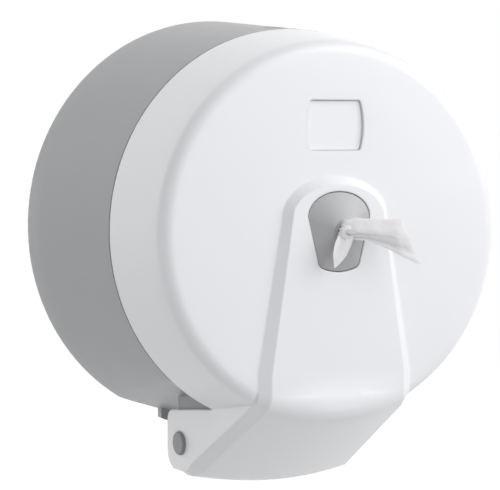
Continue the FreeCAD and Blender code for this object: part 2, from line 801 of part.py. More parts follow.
def front_cover():
    outside = drum([
        (0, COVER_REAR), (cover_radius(COVER_REAR), COVER_REAR), (v.front_radius, v.face_depth),
        (0, v.face_depth),
    ])
    outside = outside.makeFillet(v.face_corner, ring_edges(outside, v.face_depth))
    inner_face = v.face_depth - v.cover_wall
    rear = COVER_REAR - v.overrun
    cavity = drum([
        (0, rear), (cover_radius(rear) - v.cover_wall, rear),
        (cover_radius(inner_face) - v.cover_wall, inner_face), (0, inner_face),
    ])
    cavity = cavity.makeFillet(v.face_corner - v.cover_wall, ring_edges(cavity, inner_face))
    solid = outside.multiFuse([chin_upper(0), chin_lower()])
    solid = solid.cut(cavity.fuse(chin_upper(v.cover_wall)))
    solid = solid.cut(chin_cavity())

    within = chin_upper(v.cover_wall / 2)
    parts = [rod(v.post_radius, (x, -v.post_depth, z), (x, -CHIN_DEPTH, z)).common(within) for x, z in POSTS]
    parts.append(badge_prism(v.badge_margin, inner_face + v.cover_wall / 2, BADGE_FLOOR - v.badge_backing))
    pad_rear = v.catch_rear + v.catch_pad_set_back
    pad_front = v.catch_rear + v.catch_length
    catch_pad = block((-v.catch_half_width, -pad_front, v.catch_level),
                      (v.catch_half_width, -pad_rear, v.seam_radius))
    middle = v.cover_wall / 2
    catch_pad = catch_pad.common(drum([
        (0, COVER_REAR), (cover_radius(COVER_REAR) - middle, COVER_REAR),
        (v.front_radius - middle, v.face_depth), (0, v.face_depth),
    ]))
    parts.append(catch_pad)
    solid = solid.multiFuse(parts)

    tools = [egg_prism(1, CHIN_DEPTH + v.overrun, v.post_depth)]
    tools.append(badge_prism(0, v.face_depth + v.overrun, BADGE_FLOOR))
    pilot_end = v.post_depth + v.nozzle_screw_length - v.flange_thickness - v.guide_thickness + v.tap_end_gap
    tools += [rod(v.pilot_radius, (x, v.overrun - v.post_depth, z), (x, -pilot_end, z)) for x, z in POSTS]
    hinge = (-v.hinge_depth, v.hinge_level)
    reach = v.hinge_half_width + v.overrun
    tools.append(rod(v.pin_head_radius + v.running_gap, (-reach, *hinge), (reach, *hinge)))
    catch_top = v.catch_level - v.catch_thickness + v.catch_screw_length + v.tap_end_gap
    tools += [rod(v.pilot_radius, (x, -depth, v.catch_level - v.overrun), (x, -depth, catch_top))
              for x, depth in CATCH_SCREWS]
    return solid.cut(tools)


# Nozzle: an egg-shaped plug with a flange behind it and a low cone with the tissue's hole

NOZZLE_SHARE = 1 - v.nozzle_gap / v.egg_half_width
NOZZLE_INNER_SHARE = 1 - (v.nozzle_gap + v.nozzle_wall) / v.egg_half_width
NOZZLE_TIP_SHARE = v.nozzle_tip_radius / v.egg_half_width
NOZZLE_RIM = CHIN_DEPTH - v.nozzle_set_back
NOZZLE_TIP = NOZZLE_RIM + v.nozzle_projection


def flange(front_depth, rear_depth):
    half = v.flange_half_width
    plate = block((-half, -front_depth, v.flange_bottom), (half, -rear_depth, v.flange_top))
    upright = [edge for edge in plate.Edges if edge.BoundBox.YLength > v.seam_gap]
    plate = plate.makeFillet(v.flange_corner, upright)
    holes = [rod(v.tap_clear_radius, (x, -front_depth - v.overrun, z), (x, v.overrun - rear_depth, z))
             for x, z in POSTS]
    return plate.cut(holes)


def outlet_nozzle():
    plug = egg_prism(NOZZLE_SHARE, NOZZLE_RIM, v.flange_rear)
    cone = Part.makeLoft([egg(NOZZLE_SHARE, NOZZLE_RIM), egg(NOZZLE_TIP_SHARE, NOZZLE_TIP)], True, True)
    lip_front = NOZZLE_TIP + v.nozzle_lip_length
    lip = rod(v.nozzle_lip_radius, (0, -NOZZLE_RIM, 0), (0, -lip_front, 0))
    outside = flange(v.post_depth, v.flange_rear).multiFuse([plug, cone, lip])
    inner_rim = NOZZLE_RIM - v.nozzle_wall
    hollow = egg_prism(NOZZLE_INNER_SHARE, inner_rim, v.flange_rear - v.overrun)
    inner_tip = NOZZLE_TIP - v.nozzle_wall
    funnel = Part.makeLoft([egg(NOZZLE_INNER_SHARE, inner_rim), egg(NOZZLE_TIP_SHARE, inner_tip)],
                           True, True)
    hole = rod(v.nozzle_hole_radius, (0, -v.post_depth, 0), (0, -lip_front - v.overrun, 0))
    return outside.cut([hollow, funnel, hole])


# Tissue tail: a strand from inside the roll through the nozzle, then a flag and a hanging leaf

FLAG_SHARES = [(0, 0.3), (0.8, 0.23), (1, -0.66), (0.7, -0.4), (0.34, -0.25), (0, -0.13)]
LEAF_SHARES = [(-0.38, -0.05), (-0.65, -0.45), (-0.56, -1), (-0.08, -0.72), (0.34, -0.22), (0.3, -0.05)]


def tissue_tail():
    neck = v.nozzle_hole_radius - v.strand_gap
    tip = NOZZLE_TIP + v.nozzle_lip_length + v.strand_gap
    plume_end = tip + v.plume_length
    strand = drum([
        (0, v.strand_rear_depth), (v.strand_rear_radius, v.strand_rear_depth),
        (neck, v.strand_neck_depth), (neck, tip), (v.plume_radius, plume_end), (0, plume_end),
    ])
    turn = math.radians(v.flag_turn)
    along = Vector(math.cos(turn), -math.sin(turn), 0)
    across = Vector(-math.sin(turn), -math.cos(turn), 0) * v.flag_thickness
    root = Vector(0, -tip, 0)
    corners = [root + along * (a * v.flag_length) + Vector(0, 0, b * v.flag_height) for a, b in FLAG_SHARES]
    flag = Part.Face(Part.makePolygon(corners + corners[:1])).extrude(across)
    corners = [root + Vector(a * v.leaf_width, 0, b * v.leaf_height) for a, b in LEAF_SHARES]
    leaf = Part.Face(Part.makePolygon(corners + corners[:1])).extrude(Vector(0, -v.leaf_thickness, 0))
    return strand.multiFuse([flag, leaf])


# Roll cradle: a curved shelf on the back wall that lines the roll's bore up with the nozzle

CRADLE_RADIUS = v.roll_radius + v.seat_gap


def sector(radius, half_angle, front_depth, rear_depth):
    """A pie slice about the Y axis, symmetric about straight down."""
    length = front_depth - rear_depth
    slice_ = Part.makeCylinder(radius, length, Vector(0, -rear_depth, 0), Vector(0, -1, 0), 2 * half_angle)
    middle = slice_.CenterOfMass
    turn = math.degrees(math.atan2(middle.x, -middle.z))
    slice_.rotate(Vector(0, 0, 0), Vector(0, 1, 0), turn)
    return slice_


def roll_cradle():
    front = v.cradle_seat + v.cradle_length
    shelf = sector(CRADLE_RADIUS + v.cradle_thickness, v.cradle_half_angle, front, v.cradle_seat)
    plate = sector(v.cradle_flange_radius, v.cradle_flange_half_angle, v.cradle_front, v.cradle_seat)
    parts = [plate]
    for x in (-1, 1):
        middle = x * v.cradle_screw_across / 2
        top = -CRADLE_RADIUS - v.cradle_thickness / 2
        level = -math.sqrt(top * top - middle * middle)
        parts.append(slab([
            (-v.cradle_seat, level, 0), (-v.cradle_seat, level - v.cradle_rib_drop, 0),
            (-front, level - v.cradle_thickness, 0), (-front, level, 0),
        ], middle - v.cradle_rib_thickness / 2, middle + v.cradle_rib_thickness / 2))
    body = shelf.multiFuse(parts)
    tools = [rod(CRADLE_RADIUS, (0, v.overrun - v.cradle_seat, 0), (0, -front - v.overrun, 0))]
    tools += [rod(v.tap_clear_radius, (x, 0, z), (x, -v.cradle_front - v.overrun, z))
              for x, z in CRADLE_HOLES]
    return body.cut(tools)


feature("rear_case", rear_case())
feature("front_cover", front_cover())
feature("outlet_nozzle", outlet_nozzle())
feature("roll_cradle", roll_cradle())
feature("tissue_tail", tissue_tail())
feature("badge_plate", badge_prism(-v.badge_gap, BADGE_FLOOR + v.badge_thickness, BADGE_FLOOR))


# Hinge pins: plugs that press into the lugs; the cover's ears turn on their heads

clips = []
for side, facing, clip_low in (("left", AGAINST_X, "-clip_at - clip_thickness"),
                               ("right", ALONG_X, "clip_at")):
    pin = body_at("hinge_pin_" + side, ("0", "-hinge_depth", "hinge_level"), facing)
    end = "clip_at - pin_tail"
    head_end = "hinge_half_width + pin_head_proud"
    revolve(pin, "pin_" + side, [
        ("0", end), ("pin_shank_radius", end), ("pin_shank_radius", "pin_seat"),
        ("pin_head_radius", "pin_seat"), ("pin_head_radius", head_end + " - pin_head_edge"),
        ("pin_head_radius - pin_head_edge", head_end), ("0", head_end),
    ])
    node("hinge_pin_" + side, pin)
    at = (clip_low, "-hinge_depth", "hinge_level")
    disc = primitive("Cylinder", "clip_disc_" + side, {"Radius": "clip_radius", "Height": "clip_thickness"},
                     at, ALONG_X)
    eye = primitive("Cylinder", "clip_eye_" + side,
                    {"Radius": "pin_shank_radius + pin_press_gap", "Height": "clip_thickness"}, at, ALONG_X)
    clips.append(cut("clip_" + side, disc, eye))
group("pin_clips", clips)


# Paper roll, wound on no core; it lies on the cradle with its bore facing the nozzle

roll = body_at("paper_roll", rotation=AGAINST_Y)
revolve(roll, "roll", [
    ("roll_bore_radius", "roll_rear_depth"), ("roll_radius", "roll_rear_depth"),
    ("roll_radius", "roll_rear_depth + roll_length"), ("roll_bore_radius", "roll_rear_depth + roll_length"),
])
node("paper_roll", roll)

group("cradle_screws", [
    slotted_screw("cradle_screw_" + side, (x, "-cradle_front", "cradle_screw_level"), AGAINST_Y,
                  "tap_radius", "cradle_screw_length", "tap_head_radius")
    for side, x in (("left", "-cradle_screw_across"), ("right", "cradle_screw_across"))
])


# Paper guide: a plate behind the nozzle's flange with a funnel that gathers the tissue

guide = body_at("guide_body", rotation=AGAINST_Y)
across(guide, "guide_plate", ("flange_bottom", "guide_rear"), ("flange_top", "flange_rear"),
       "2 * flange_half_width")
revolve(guide, "guide_funnel", [
    ("guide_mouth_radius", "guide_mouth"),
    ("guide_throat_radius", "guide_rear"),
    ("guide_throat_radius", "flange_rear"),
    ("guide_throat_radius + 2 * guide_wall", "flange_rear"),
    ("guide_throat_radius + 2 * guide_wall", "guide_rear"),
    ("guide_mouth_radius + guide_wall", "guide_mouth"),
])
revolve(guide, "guide_throat", [
    ("0", "guide_rear"), ("guide_throat_radius", "guide_rear"),
    ("guide_throat_radius", "flange_rear + overrun"), ("0", "flange_rear + overrun"),
], "Groove")
post_places = [(side + level, x, "post_" + level) for side, x in (("left_", "-post_across"),
                                                                   ("right_", "post_across"))
               for level in ("bottom", "top")]
holes = [primitive("Cylinder", "guide_hole_" + name, {"Radius": "tap_clear_radius", "Height":
                   "guide_thickness + 2 * overrun"}, (x, "overrun - guide_rear", z), AGAINST_Y)
         for name, x, z in post_places]
node("paper_guide", cut("guide", guide, fuse("guide_holes", holes)))
group("nozzle_screws", [
    slotted_screw("nozzle_screw_" + name, (x, "-guide_rear", z), ALONG_Y,
                  "tap_radius", "nozzle_screw_length", "tap_head_radius")
    for name, x, z in post_places
])


# Cam lock in the case's top, turned from above with a key

housing = body_at("lock_housing", ("0", "-lock_depth", "0"))
revolve(housing, "housing", [
    ("barrel_radius + running_gap", "housing_bottom_level"), ("housing_radius", "housing_bottom_level"),
    ("housing_radius", "lock_seat_level"), ("lock_flange_radius", "lock_seat_level"),
    ("lock_flange_radius", "lock_top"),
    ("barrel_head_radius + running_gap", "lock_top"),
    ("barrel_head_radius + running_gap", "head_seat - running_gap"),
    ("barrel_radius + running_gap", "head_seat - running_gap"),
])
node("lock_housing", housing)

nut_at = ("0", "-lock_depth", "lock_pad_level - nut_thickness")
hexagon = primitive("Prism", "nut_hexagon", {"Circumradius": "nut_half_flat / cos(30)",
                                             "Height": "nut_thickness"}, nut_at)
hexagon.Polygon = 6
thread = primitive("Cylinder", "nut_hole", {"Radius": "housing_radius + nut_gap",
                                            "Height": "nut_thickness"}, nut_at)
node("lock_nut", cut("nut", hexagon, thread))

barrel = body_at("lock_barrel", ("0", "-lock_depth", "0"))
screw_hole = ("cam_screw_radius + cam_screw_gap", "cam_bottom + cam_screw_length + tap_end_gap")
revolve(barrel, "barrel", [
    ("0", screw_hole[1]), screw_hole, (screw_hole[0], "barrel_bottom"), ("barrel_radius", "barrel_bottom"),
    ("barrel_radius", "head_seat"), ("barrel_head_radius", "head_seat"), ("barrel_head_radius", "head_top"),
    ("0", "head_top"),
])
across(barrel, "keyway", ("-keyway_width / 2", "head_top - keyway_depth"),
       ("keyway_width / 2", "head_top + overrun"), "keyway_length", "Pocket")
node("lock_barrel", barrel)

hub_at = ("0", "-lock_depth", "cam_bottom")
hub = primitive("Cylinder", "cam_hub", {"Radius": "cam_hub_radius", "Height": "cam_thickness"}, hub_at)
arm = primitive("Box", "cam_arm", {"Length": "cam_reach + cam_thickness", "Width": "cam_width",
                                   "Height": "cam_thickness"},
                ("0", "-lock_depth - cam_width / 2", "cam_bottom"))
hook = primitive("Box", "cam_hook", {"Length": "cam_thickness", "Width": "cam_width",
                                     "Height": "cam_hook_height"},
                 ("cam_reach", "-lock_depth - cam_width / 2", "cam_bottom"))
cam_hole = primitive("Cylinder", "cam_hole", {"Radius": "cam_screw_radius + cam_screw_gap",
                                              "Height": "cam_thickness"}, hub_at)
node("lock_cam", cut("cam", fuse("cam_blank", [hub, arm, hook]), cam_hole))
node("cam_screw", slotted_screw("cam_screw", hub_at, DOWNWARD, "cam_screw_radius", "cam_screw_length",
                                "cam_screw_head_radius"))


# Catch under the cover's top wall, behind the cam's hook when the lock is turned

base = primitive("Box", "catch_base", {"Length": "2 * catch_half_width", "Width": "catch_length",
                                       "Height": "catch_thickness"},
                 ("-catch_half_width", "-catch_rear - catch_length",
                  "catch_level - catch_thickness"))
lip = primitive("Box", "catch_lip", {"Length": "2 * catch_lip_half_width", "Width": "catch_thickness",
                                     "Height": "catch_level - catch_lip_level"},
                ("-catch_lip_half_width", "-catch_rear - catch_thickness", "catch_lip_level"))
catch_places = [("catch_screw_" + side, (x, "-catch_rear - catch_screw_forward",
                                         "catch_level - catch_thickness"))
                for side, x in (("left", "-catch_screw_across"), ("right", "catch_screw_across"))]
catch_hole = {"Radius": "tap_clear_radius", "Height": "catch_thickness"}
holes = [primitive("Cylinder", name + "_hole", catch_hole, at) for name, at in catch_places]
node("lock_catch", cut("catch", fuse("catch_blank", [base, lip]), fuse("catch_holes", holes)))
group("catch_screws", [slotted_screw(name, at, DOWNWARD, "tap_radius", "catch_screw_length",
                                     "tap_head_radius") for name, at in catch_places])


# Every object is checked before any file is written

doc.recompute()
for thing in doc.Objects:
    if "Invalid" in thing.State or "Error" in thing.State:
        raise RuntimeError("%s did not recompute" % thing.Name)
for label, thing in NODES.items():
    if thing.Shape.isNull() or not thing.Shape.isValid() or not thing.Shape.Solids:
        raise RuntimeError("%s has no valid shape" % label)
os.makedirs("parts", exist_ok=True)
for label, thing in NODES.items():
    thing.Shape.exportStep("parts/%s.step" % label)
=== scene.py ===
import math
from functools import partial

import bmesh
import bpy
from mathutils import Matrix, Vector, noise


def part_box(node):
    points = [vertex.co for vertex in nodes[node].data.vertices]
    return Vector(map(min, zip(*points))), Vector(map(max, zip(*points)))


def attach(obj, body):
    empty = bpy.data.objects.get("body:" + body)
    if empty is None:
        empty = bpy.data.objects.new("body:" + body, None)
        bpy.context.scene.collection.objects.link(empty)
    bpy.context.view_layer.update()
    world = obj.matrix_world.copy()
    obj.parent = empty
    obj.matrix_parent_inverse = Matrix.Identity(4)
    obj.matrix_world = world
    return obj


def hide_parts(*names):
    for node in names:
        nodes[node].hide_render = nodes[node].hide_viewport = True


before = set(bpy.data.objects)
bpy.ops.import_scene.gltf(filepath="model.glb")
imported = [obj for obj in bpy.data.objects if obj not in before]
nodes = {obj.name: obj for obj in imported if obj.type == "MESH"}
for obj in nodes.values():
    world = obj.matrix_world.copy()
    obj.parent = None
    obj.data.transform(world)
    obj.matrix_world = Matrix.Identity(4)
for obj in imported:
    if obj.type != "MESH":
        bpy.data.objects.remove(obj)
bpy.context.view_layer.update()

scene = bpy.context.scene
scene.view_settings.view_transform = "Standard"


# Camera: a long lens on the left of the front, a little above the height of the nozzle. The lens and
# the distance give the gentle perspective of a product photograph.
lens = bpy.data.cameras.new("camera")
lens.sensor_width = 36
lens.lens = 158.76
camera = bpy.data.objects.new("camera", lens)
camera.location = (-0.7033, -1.43559, 0.06325)
sight = Vector((0.4545, 0.8893, -0.0501))
camera.rotation_euler = sight.to_track_quat("-Z", "Y").to_euler()
scene.collection.objects.link(camera)
scene.camera = camera


# Light: a large soft box in front on the right, a smaller one beside it and a weak one low on the left,
# in a room that is brightest behind the dispenser. Seen straight or in gloss, the room is plain white.
SOFT_BOXES = (
    # name, place, side, watts
    ("key_box", (1.4, -1.4, 1.1), 2.0, 32.0),
    ("right_box", (1.65, -0.95, 1.1), 1.2, 8.0),
    ("low_box", (-1.7, -0.3, -0.45), 1.0, 2.4),
)
ROOM_GLOWS = (
    # toward, strength, how narrow
    ((0, 1, 0), 3.9, 2),
    ((0, -1, 0), 0.85, 2),
    ((-1, 0, 0), 0.22, 2),
    ((-0.45, -0.89, 0), 0.35, 7),
    ((-0.5, -0.5, 0.7), 0.3, 7),
)

for name, place, side, watts in SOFT_BOXES:
    light = bpy.data.lights.new(name, "AREA")
    light.size = side
    light.energy = watts
    lamp = bpy.data.objects.new(name, light)
    lamp.location = place
    lamp.rotation_euler = (-Vector(place)).to_track_quat("-Z", "Y").to_euler()
    scene.collection.objects.link(lamp)


def math_node(tree, operation, *values):
    """A Math node whose inputs are linked to the sockets, or set to the numbers, that are given."""
    node = tree.nodes.new("ShaderNodeMath")
    node.operation = operation
    for socket, value in zip(node.inputs, values):
        if isinstance(value, bpy.types.NodeSocket):
            tree.links.new(value, socket)
        else:
            socket.default_value = value
    return node.outputs[0]


def seen_straight(tree):
    """1 for a ray from the camera, from gloss or through glass, and 0 for any other."""
    rays = tree.nodes.new("ShaderNodeLightPath").outputs
    either = math_node(tree, "MAXIMUM", rays["Is Camera Ray"], rays["Is Glossy Ray"])
    return math_node(tree, "MAXIMUM", either, rays["Is Transmission Ray"])


room = bpy.data.worlds.new("room")
scene.world = room
room.use_nodes = True
tree = room.node_tree
tree.nodes.clear()
direction = tree.nodes.new("ShaderNodeTexCoord")
total = 0
for toward, strength, narrow in ROOM_GLOWS:
    facing = tree.nodes.new("ShaderNodeVectorMath")
    facing.operation = "DOT_PRODUCT"
    facing.inputs[1].default_value = Vector(toward).normalized()
    tree.links.new(direction.outputs["Generated"], facing.inputs[0])
    glow = math_node(tree, "POWER", math_node(tree, "MAXIMUM", facing.outputs["Value"], 0), narrow)
    total = math_node(tree, "MULTIPLY_ADD", glow, strength, total)
lit = tree.nodes.new("ShaderNodeBackground")
lit.inputs["Color"].default_value = (1, 1, 1, 1)
tree.links.new(total, lit.inputs["Strength"])
white = tree.nodes.new("ShaderNodeBackground")
white.inputs["Color"].default_value = (1, 1, 1, 1)
pick = tree.nodes.new("ShaderNodeMixShader")
tree.links.new(seen_straight(tree), pick.inputs[0])
tree.links.new(lit.outputs[0], pick.inputs[1])
tree.links.new(white.outputs[0], pick.inputs[2])
out = tree.nodes.new("ShaderNodeOutputWorld")
tree.links.new(pick.outputs[0], out.inputs["Surface"])


# Floor: a pale matt sheet well below the dispenser, which hangs on a wall that isn't shown. It keeps
# the dispenser's shadow, and is lifted to white where it is seen straight.
FLOOR_LEVEL = -0.62
FLOOR_HALF_SIDE = 4.0
FLOOR_SHADE = 0.45
FLOOR_LIFT = 0.72

mesh = bmesh.new()
bmesh.ops.create_grid(mesh, x_segments=1, y_segments=1, size=FLOOR_HALF_SIDE)
bmesh.ops.translate(mesh, verts=mesh.verts, vec=(0, 0, FLOOR_LEVEL))
floor = bpy.data.objects.new("floor", bpy.data.meshes.new("floor"))
mesh.to_mesh(floor.data)
mesh.free()
scene.collection.objects.link(floor)
paper = bpy.data.materials.new("pale_floor")
paper.use_nodes = True
tree = paper.node_tree
tree.nodes.clear()
matt = tree.nodes.new("ShaderNodeBsdfDiffuse")
matt.inputs["Color"].default_value = (FLOOR_SHADE, FLOOR_SHADE, FLOOR_SHADE, 1)
lift = tree.nodes.new("ShaderNodeEmission")
tree.links.new(math_node(tree, "MULTIPLY", seen_straight(tree), FLOOR_LIFT), lift.inputs["Strength"])
both = tree.nodes.new("ShaderNodeAddShader")
tree.links.new(matt.outputs[0], both.inputs[0])
tree.links.new(lift.outputs[0], both.inputs[1])
out = tree.nodes.new("ShaderNodeOutputMaterial")
tree.links.new(both.outputs[0], out.inputs["Surface"])
floor.data.materials.append(paper)


# Rear case: one moulding in satin grey ABS, a tapered drum closed by the wall plate, with two flats
# underneath and the hinge lugs. Four screws through the plate hold it to the wall.
SAME_CORNER = 2e-6
SOFT_EDGE_DEGREES = 28


def moulded_copy(node, name, material):
    """The node's shape as one joined mesh with smooth shading, which stands for the node."""
    piece = bpy.data.objects.new(name, nodes[node].data.copy())
    scene.collection.objects.link(piece)
    mesh = bmesh.new()
    mesh.from_mesh(piece.data)
    bmesh.ops.remove_doubles(mesh, verts=mesh.verts, dist=SAME_CORNER)
    for face in mesh.faces:
        face.smooth = True
        face.material_index = 0
    limit = math.radians(SOFT_EDGE_DEGREES)
    for edge in mesh.edges:
        edge.smooth = len(edge.link_faces) == 2 and edge.calc_face_angle(0) < limit
    mesh.to_mesh(piece.data)
    mesh.free()
    piece.data.materials.clear()
    piece.data.materials.append(material)
    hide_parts(node)
    return piece


def effect_group(name, inputs, outputs):
    """An empty shader group with its input and output nodes. Sockets are (label, kind, value)."""
    group = bpy.data.node_groups.new(name, "ShaderNodeTree")
    for label, kind, value in inputs:
        socket = group.interface.new_socket(label, in_out="INPUT", socket_type="NodeSocket" + kind)
        socket.default_value = value
    for label, kind in outputs:
        group.interface.new_socket(label, in_out="OUTPUT", socket_type="NodeSocket" + kind)
    return group, group.nodes.new("NodeGroupInput").outputs, group.nodes.new("NodeGroupOutput").inputs


def noise_node(tree, vector, scale, detail):
    """A noise's height. Its scale is linked to a socket, or set to a number."""
    texture = tree.nodes.new("ShaderNodeTexNoise")
    texture.inputs["Detail"].default_value = detail
    tree.links.new(vector, texture.inputs["Vector"])
    if isinstance(scale, bpy.types.NodeSocket):
        tree.links.new(scale, texture.inputs["Scale"])
    else:
        texture.inputs["Scale"].default_value = scale
    return texture.outputs["Fac"]


def scaled_colour(tree, colour, factor):
    """The colour made lighter or darker by a factor near 1."""
    shade = tree.nodes.new("ShaderNodeVectorMath")
    shade.operation = "SCALE"
    tree.links.new(colour, shade.inputs[0])
    tree.links.new(factor, shade.inputs["Scale"])
    return shade.outputs[0]


# Moulded surface: spark grain, slow waves of the melt, and a slight drift in shade and in gloss
WAVE_SCALE = 55
DRIFT_SCALE = 11
RUB_SCALE = 38
moulded_surface, given, put = effect_group(
    "moulded_surface",
    [("Colour", "Color", (0.8, 0.8, 0.8, 1)), ("Roughness", "Float", 0.4), ("Grain scale", "Float", 1800.0),
     ("Grain depth", "Float", 0.3), ("Wave depth", "Float", 0.5), ("Shade drift", "Float", 0.03),
     ("Gloss drift", "Float", 0.12)],
    [("Colour", "Color"), ("Roughness", "Float"), ("Height", "Float")])
place = moulded_surface.nodes.new("ShaderNodeTexCoord").outputs["Object"]
grain = noise_node(moulded_surface, place, given["Grain scale"], 2)
wave = noise_node(moulded_surface, place, WAVE_SCALE, 1)
drift = math_node(moulded_surface, "SUBTRACT", noise_node(moulded_surface, place, DRIFT_SCALE, 3), 0.5)
rub = math_node(moulded_surface, "SUBTRACT", noise_node(moulded_surface, place, RUB_SCALE, 4), 0.5)
shade = math_node(moulded_surface, "MULTIPLY_ADD", drift, given["Shade drift"], 1)
moulded_surface.links.new(scaled_colour(moulded_surface, given["Colour"], shade), put["Colour"])
gloss = math_node(moulded_surface, "MULTIPLY_ADD", rub, given["Gloss drift"], given["Roughness"])
moulded_surface.links.new(gloss, put["Roughness"])
grain_height = math_node(moulded_surface, "MULTIPLY", grain, given["Grain depth"])
height = math_node(moulded_surface, "MULTIPLY_ADD", wave, given["Wave depth"], grain_height)
moulded_surface.links.new(height, put["Height"])

BUMP_HEIGHT = 0.00012
BEVEL_SAMPLES = 4
COAT_ROUGHNESS = 0.42


def moulded_plastic(name, colour, roughness, edge=0.0006, coat=0.0, **finish):
    """A plastic with the moulded surface. Its edges catch the light over a small radius."""
    material = bpy.data.materials.new(name)
    material.use_nodes = True
    tree = material.node_tree
    shader = tree.nodes["Principled BSDF"]
    surface = tree.nodes.new("ShaderNodeGroup")
    surface.node_tree = moulded_surface
    surface.inputs["Colour"].default_value = (*colour, 1)
    surface.inputs["Roughness"].default_value = roughness
    for label, value in finish.items():
        surface.inputs[label.capitalize().replace("_", " ")].default_value = value
    rounded = tree.nodes.new("ShaderNodeBevel")
    rounded.samples = BEVEL_SAMPLES
    rounded.inputs["Radius"].default_value = edge
    bump = tree.nodes.new("ShaderNodeBump")
    bump.inputs["Distance"].default_value = BUMP_HEIGHT
    tree.links.new(surface.outputs["Height"], bump.inputs["Height"])
    tree.links.new(rounded.outputs["Normal"], bump.inputs["Normal"])
    tree.links.new(surface.outputs["Colour"], shader.inputs["Base Color"])
    tree.links.new(surface.outputs["Roughness"], shader.inputs["Roughness"])
    tree.links.new(bump.outputs["Normal"], shader.inputs["Normal"])
    tree.links.new(bump.outputs["Normal"], shader.inputs["Coat Normal"])
    shader.inputs["Coat Weight"].default_value = coat
    shader.inputs["Coat Roughness"].default_value = COAT_ROUGHNESS
    return material


grey_plastic = moulded_plastic("grey_case_plastic", (0.334, 0.343, 0.353), 0.42, coat=0.17, grain_depth=0.35)
case = moulded_copy("rear_case", "case_shell", grey_plastic)
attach(case, "case")


# Hinge pins: two round plugs moulded in ABS like the case and pressed into the lugs. Their grey is darker
# than the case's. Each has a spring clip of thin steel on its tail inside.
def finish_node(name, material):
    """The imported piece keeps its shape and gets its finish."""
    for slot in nodes[name].material_slots:
        slot.material = material


pin_plastic = moulded_plastic("grey_pin_plastic", (0.25, 0.256, 0.266), 0.36, edge=0.0004, grain_depth=0.2)
for side in ("left", "right"):
    finish_node("hinge_pin_" + side, pin_plastic)

# Metal surface: fine lines of the mill or tool along one axis, and a faint cloud of dull patches
LINE_STRETCH = (1, 1, 0.04)
LINE_GLOSS = 0.1
CLOUD_SCALE = 160
metal_surface, given, put = effect_group(
    "metal_surface",
    [("Colour", "Color", (0.6, 0.6, 0.6, 1)), ("Roughness", "Float", 0.3), ("Line scale", "Float", 1400.0),
     ("Cloud", "Float", 0.2)],
    [("Colour", "Color"), ("Roughness", "Float"), ("Height", "Float")])
place = metal_surface.nodes.new("ShaderNodeTexCoord").outputs["Object"]
stretch = metal_surface.nodes.new("ShaderNodeVectorMath")
stretch.operation = "MULTIPLY"
stretch.inputs[1].default_value = LINE_STRETCH
metal_surface.links.new(place, stretch.inputs[0])
lines = noise_node(metal_surface, stretch.outputs[0], given["Line scale"], 3)
cloud = math_node(metal_surface, "SUBTRACT", noise_node(metal_surface, place, CLOUD_SCALE, 4), 0.5)
shade = math_node(metal_surface, "MULTIPLY_ADD", cloud, given["Cloud"], 1)
metal_surface.links.new(scaled_colour(metal_surface, given["Colour"], shade), put["Colour"])
dull = math_node(metal_surface, "MULTIPLY_ADD", cloud, given["Cloud"], given["Roughness"])
metal_surface.links.new(math_node(metal_surface, "MULTIPLY_ADD", lines, LINE_GLOSS, dull), put["Roughness"])
metal_surface.links.new(lines, put["Height"])

LINE_DEPTH = 0.00002


def bare_metal(name, colour, roughness, line_scale=1400.0, cloud=0.2):
    """A metal with the metal surface, whose lines are too fine to feel."""
    material = bpy.data.materials.new(name)
    material.use_nodes = True
    tree = material.node_tree
    shader = tree.nodes["Principled BSDF"]
    shader.inputs["Metallic"].default_value = 1
    surface = tree.nodes.new("ShaderNodeGroup")
    surface.node_tree = metal_surface
    surface.inputs["Colour"].default_value = (*colour, 1)
    surface.inputs["Roughness"].default_value = roughness
    surface.inputs["Line scale"].default_value = line_scale
    surface.inputs["Cloud"].default_value = cloud
    bump = tree.nodes.new("ShaderNodeBump")
    bump.inputs["Distance"].default_value = LINE_DEPTH
    tree.links.new(surface.outputs["Height"], bump.inputs["Height"])
    tree.links.new(surface.outputs["Colour"], shader.inputs["Base Color"])
    tree.links.new(surface.outputs["Roughness"], shader.inputs["Roughness"])
    tree.links.new(bump.outputs["Normal"], shader.inputs["Normal"])
    return material


spring_steel = bare_metal("spring_steel", (0.50, 0.50, 0.51), 0.28)
finish_node("pin_clips", spring_steel)


# Roll cradle: a curved shelf in pale ABS with two ribs under it, screwed to the wall plate. The roll
# lies on it with its bore in line with the nozzle.
inner_plastic = moulded_plastic("pale_inner_plastic", (0.62, 0.63, 0.63), 0.5, grain_scale=1200.0,
                                grain_depth=0.5)
finish_node("roll_cradle", inner_plastic)


# Tapping screws: zinc-plated steel with a slotted pan head and a coarse thread. Two hold the cradle,
# four the nozzle and two the catch; a finer one holds the cam on the lock's barrel.
def shape_tree(name, inputs):
    """An empty Geometry Nodes tree with a mesh output. Its inputs are (label, kind, value)."""
    tree = bpy.data.node_groups.new(name, "GeometryNodeTree")
    tree.interface.new_socket("Mesh", in_out="OUTPUT", socket_type="NodeSocketGeometry")
    for label, kind, value in inputs:
        socket = tree.interface.new_socket(label, in_out="INPUT", socket_type="NodeSocket" + kind)
        if value is not None:
            socket.default_value = value
    return tree, tree.nodes.new("NodeGroupInput").outputs, tree.nodes.new("NodeGroupOutput").inputs


def step(tree, kind, **sockets):
    """A node whose sockets, named with underscores for spaces, are linked or set."""
    node = tree.nodes.new(kind)
    for label, value in sockets.items():
        name = label.replace("_", " ")
        socket = next(item for item in node.inputs if item.name.lower() == name.lower() and item.enabled)
        for source in value if isinstance(value, list) else [value]:
            if isinstance(source, bpy.types.NodeSocket):
                tree.links.new(source, socket)
            else:
                socket.default_value = source
    return node.outputs[0]


def xyz(tree, x=0.0, y=0.0, z=0.0):
    """A vector made of sockets and numbers."""
    return step(tree, "ShaderNodeCombineXYZ", X=x, Y=y, Z=z)


